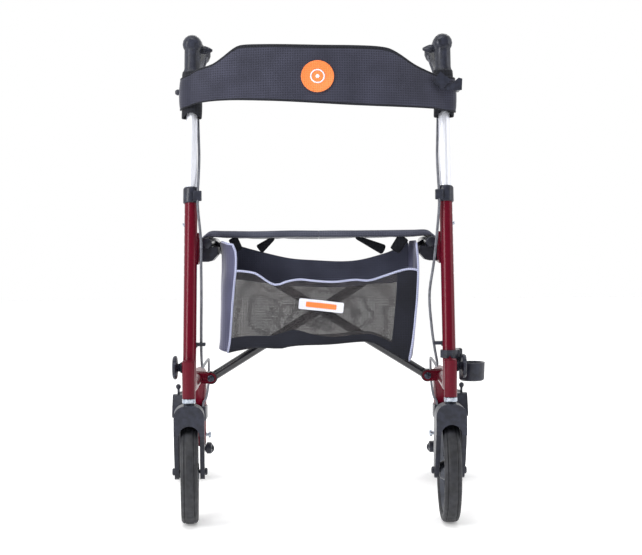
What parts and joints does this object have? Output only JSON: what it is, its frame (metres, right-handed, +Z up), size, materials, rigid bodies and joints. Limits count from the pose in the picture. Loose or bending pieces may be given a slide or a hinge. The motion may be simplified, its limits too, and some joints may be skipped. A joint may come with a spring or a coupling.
{
  "type": "rollator walker",
  "caption": "Folding four-wheeled rollator walker with a seat, mesh bag, backrest band, height-adjustable braked handles, swivelling front casters and a cane holder.",
  "frame": {"origin": "centre of the footprint on the floor: x and y at the middle of the bounding box, z at the tyres' lowest point", "axes": "+Z up, -Y towards the casters at the front, +Y towards the user, +X to the right as seen from the front"},
  "size_m": [0.672, 0.6997, 0.9562],
  "materials": {
    "frame": "glossy burgundy lacquer",
    "post": "satin anodised",
    "brace": "satin black powder coat",
    "steel": "zinc plated",
    "nylon": "black moulded nylon",
    "handle": "black moulded nylon",
    "grip": "matte",
    "cable": "grey cable housing",
    "tyre": "solid polyurethane",
    "hub": "dark grey nylon",
    "fabric": "black polyester weave",
    "mesh": "open mesh with piping"
  },
  "bodies": {
    "left_frame": {"left_side_frame": "frame", "left_collar": "nylon", "left_rail_cradle": "nylon", "left_head_bush": "steel", "left_head_cap": "nylon", "left_pivot_bolt": "steel", "left_rear_axle": "steel", "left_brake_block": "nylon", "left_tipping_lever": "nylon", "left_brake_cable": "cable", "left_cable_hook": "nylon"},
    "left_post": {"left_post": "post", "left_handle": "handle", "left_grip": "grip", "backrest_band": "fabric", "band_screw": "nylon"},
    "left_button": {"left_snap_button": "steel"},
    "left_lever": {"left_brake_lever": "nylon"},
    "left_caster": {"left_fork": "nylon", "left_front_axle": "steel"},
    "left_front_wheel": {"left_front_tyre": "tyre", "left_front_hub": "hub"},
    "left_rear_wheel": {"left_rear_tyre": "tyre", "left_rear_hub": "hub"},
    "left_brake": {"left_brake_arm": "nylon"},
    "left_knob": {"left_knob": "nylon"},
    "right_frame": {"right_side_frame": "frame", "right_collar": "nylon", "right_rail_cradle": "nylon", "right_head_bush": "steel", "right_head_cap": "nylon", "right_pivot_bolt": "steel", "right_rear_axle": "steel", "right_brake_block": "nylon", "right_tipping_lever": "nylon", "right_brake_cable": "cable", "right_cable_hook": "nylon", "cane_cup": "nylon"},
    "right_post": {"right_post": "post", "right_handle": "handle", "right_grip": "grip", "cane_clip": "nylon"},
    "right_button": {"right_snap_button": "steel"},
    "right_lever": {"right_brake_lever": "nylon"},
    "right_caster": {"right_fork": "nylon", "right_front_axle": "steel"},
    "right_front_wheel": {"right_front_tyre": "tyre", "right_front_hub": "hub"},
    "right_rear_wheel": {"right_rear_tyre": "tyre", "right_rear_hub": "hub"},
    "right_brake": {"right_brake_arm": "nylon"},
    "right_knob": {"right_knob": "nylon"},
    "cross_a": {"brace_a": "brace", "right_rail_cap": "nylon", "centre_bolt": "steel"},
    "cross_b": {"brace_b": "brace", "left_rail_cap": "nylon"},
    "seat_left": {"seat_left_half": "fabric"},
    "seat_right": {"seat_right_half": "fabric"},
    "bag": {"bag": "mesh"}
  },
  "joints": [
    {"name": "fold", "type": "hinge", "parent": "left_frame", "child": "cross_a", "pos_m": [-0.223, -0.0725, 0.264], "axis": [0, -1, 0], "range_deg": [0, 43], "deforming": ["bag", "backrest_band"]},
    {"name": "cross_fold", "type": "hinge", "parent": "cross_a", "child": "cross_b", "pos_m": [0, -0.06, 0.4025], "axis": [0, -1, 0], "range_deg": [-86, 0]},
    {"name": "right_fold", "type": "hinge", "parent": "cross_b", "child": "right_frame", "pos_m": [0.223, -0.0475, 0.264], "axis": [0, -1, 0], "range_deg": [0, 43]},
    {"name": "seat_left_fold", "type": "hinge", "parent": "cross_b", "child": "seat_left", "pos_m": [-0.223, -0.05, 0.541], "axis": [0, -1, 0], "range_deg": [0, 118.68]},
    {"name": "seat_right_fold", "type": "hinge", "parent": "cross_a", "child": "seat_right", "pos_m": [0.223, -0.05, 0.541], "axis": [0, -1, 0], "range_deg": [-118.68, 0]},
    {"name": "bag_hang", "type": "hinge", "parent": "cross_b", "child": "bag", "pos_m": [-0.223, -0.1, 0.541], "axis": [0, -1, 0], "range_deg": [0, 43]},
    {"name": "left_height", "type": "slide", "parent": "left_frame", "child": "left_post", "axis": [0, 0.1994, 0.9799], "range_m": [-0.1, 0.02], "deforming": ["left_brake_cable", "backrest_band"]},
    {"name": "left_latch", "type": "slide", "parent": "left_post", "child": "left_button", "axis": [1, 0, 0], "range_m": [0, 0.0055], "stiffness_N_per_m": 400, "springref_m": -0.004},
    {"name": "left_squeeze", "type": "hinge", "parent": "left_post", "child": "left_lever", "pos_m": [-0.227, -0.122, 0.928], "axis": [1, 0, 0], "range_deg": [0, 12], "stiffness_Nm_per_rad": 1.5, "springref_deg": -11.46, "deforming": ["left_brake_cable"]},
    {"name": "left_brake_turn", "type": "hinge", "parent": "left_frame", "child": "left_brake", "pos_m": [-0.28, 0.151, 0.1594], "axis": [-1, 0, 0], "range_deg": [0, 6]},
    {"name": "left_swivel", "type": "hinge", "parent": "left_frame", "child": "left_caster", "pos_m": [-0.2495, -0.288, 0.246], "axis": [0, 0, 1], "continuous": true},
    {"name": "left_front_roll", "type": "hinge", "parent": "left_caster", "child": "left_front_wheel", "pos_m": [-0.25248, -0.25012, 0.1], "axis": [0.9969, 0.0785, 0], "continuous": true},
    {"name": "left_rear_roll", "type": "hinge", "parent": "left_frame", "child": "left_rear_wheel", "pos_m": [-0.311, 0.25, 0.1], "axis": [1, 0, 0], "continuous": true},
    {"name": "left_knob_turn", "type": "hinge", "parent": "left_frame", "child": "left_knob", "pos_m": [-0.2775, -0.262, 0.303], "axis": [1, 0, 0], "continuous": true},
    {"name": "right_height", "type": "slide", "parent": "right_frame", "child": "right_post", "axis": [0, 0.1994, 0.9799], "range_m": [-0.1, 0.02], "deforming": ["right_brake_cable", "backrest_band"]},
    {"name": "right_latch", "type": "slide", "parent": "right_post", "child": "right_button", "axis": [-1, 0, 0], "range_m": [0, 0.0055], "stiffness_N_per_m": 400, "springref_m": -0.004},
    {"name": "right_squeeze", "type": "hinge", "parent": "right_post", "child": "right_lever", "pos_m": [0.227, -0.122, 0.928], "axis": [1, 0, 0], "range_deg": [0, 12], "stiffness_Nm_per_rad": 1.5, "springref_deg": -11.46, "deforming": ["right_brake_cable"]},
    {"name": "right_brake_turn", "type": "hinge", "parent": "right_frame", "child": "right_brake", "pos_m": [0.28, 0.151, 0.1594], "axis": [-1, 0, 0], "range_deg": [0, 6]},
    {"name": "right_swivel", "type": "hinge", "parent": "right_frame", "child": "right_caster", "pos_m": [0.2495, -0.288, 0.246], "axis": [0, 0, 1], "continuous": true},
    {"name": "right_front_roll", "type": "hinge", "parent": "right_caster", "child": "right_front_wheel", "pos_m": [0.2495, -0.25, 0.1], "axis": [1, 0, 0], "continuous": true},
    {"name": "right_rear_roll", "type": "hinge", "parent": "right_frame", "child": "right_rear_wheel", "pos_m": [0.311, 0.25, 0.1], "axis": [1, 0, 0], "continuous": true},
    {"name": "right_knob_turn", "type": "hinge", "parent": "right_frame", "child": "right_knob", "pos_m": [0.2775, -0.262, 0.303], "axis": [1, 0, 0], "continuous": true}
  ],
  "couplings": [
    {"joint": "cross_fold", "follows": "fold", "ratio": -2},
    {"joint": "right_fold", "follows": "fold", "ratio": 1},
    {"joint": "seat_left_fold", "follows": "fold", "ratio": 2.76},
    {"joint": "seat_right_fold", "follows": "fold", "ratio": -2.76},
    {"joint": "bag_hang", "follows": "fold", "ratio": 1},
    {"joint": "left_brake_turn", "follows": "left_squeeze", "ratio": 0.5},
    {"joint": "right_brake_turn", "follows": "right_squeeze", "ratio": 0.5}
  ]
}
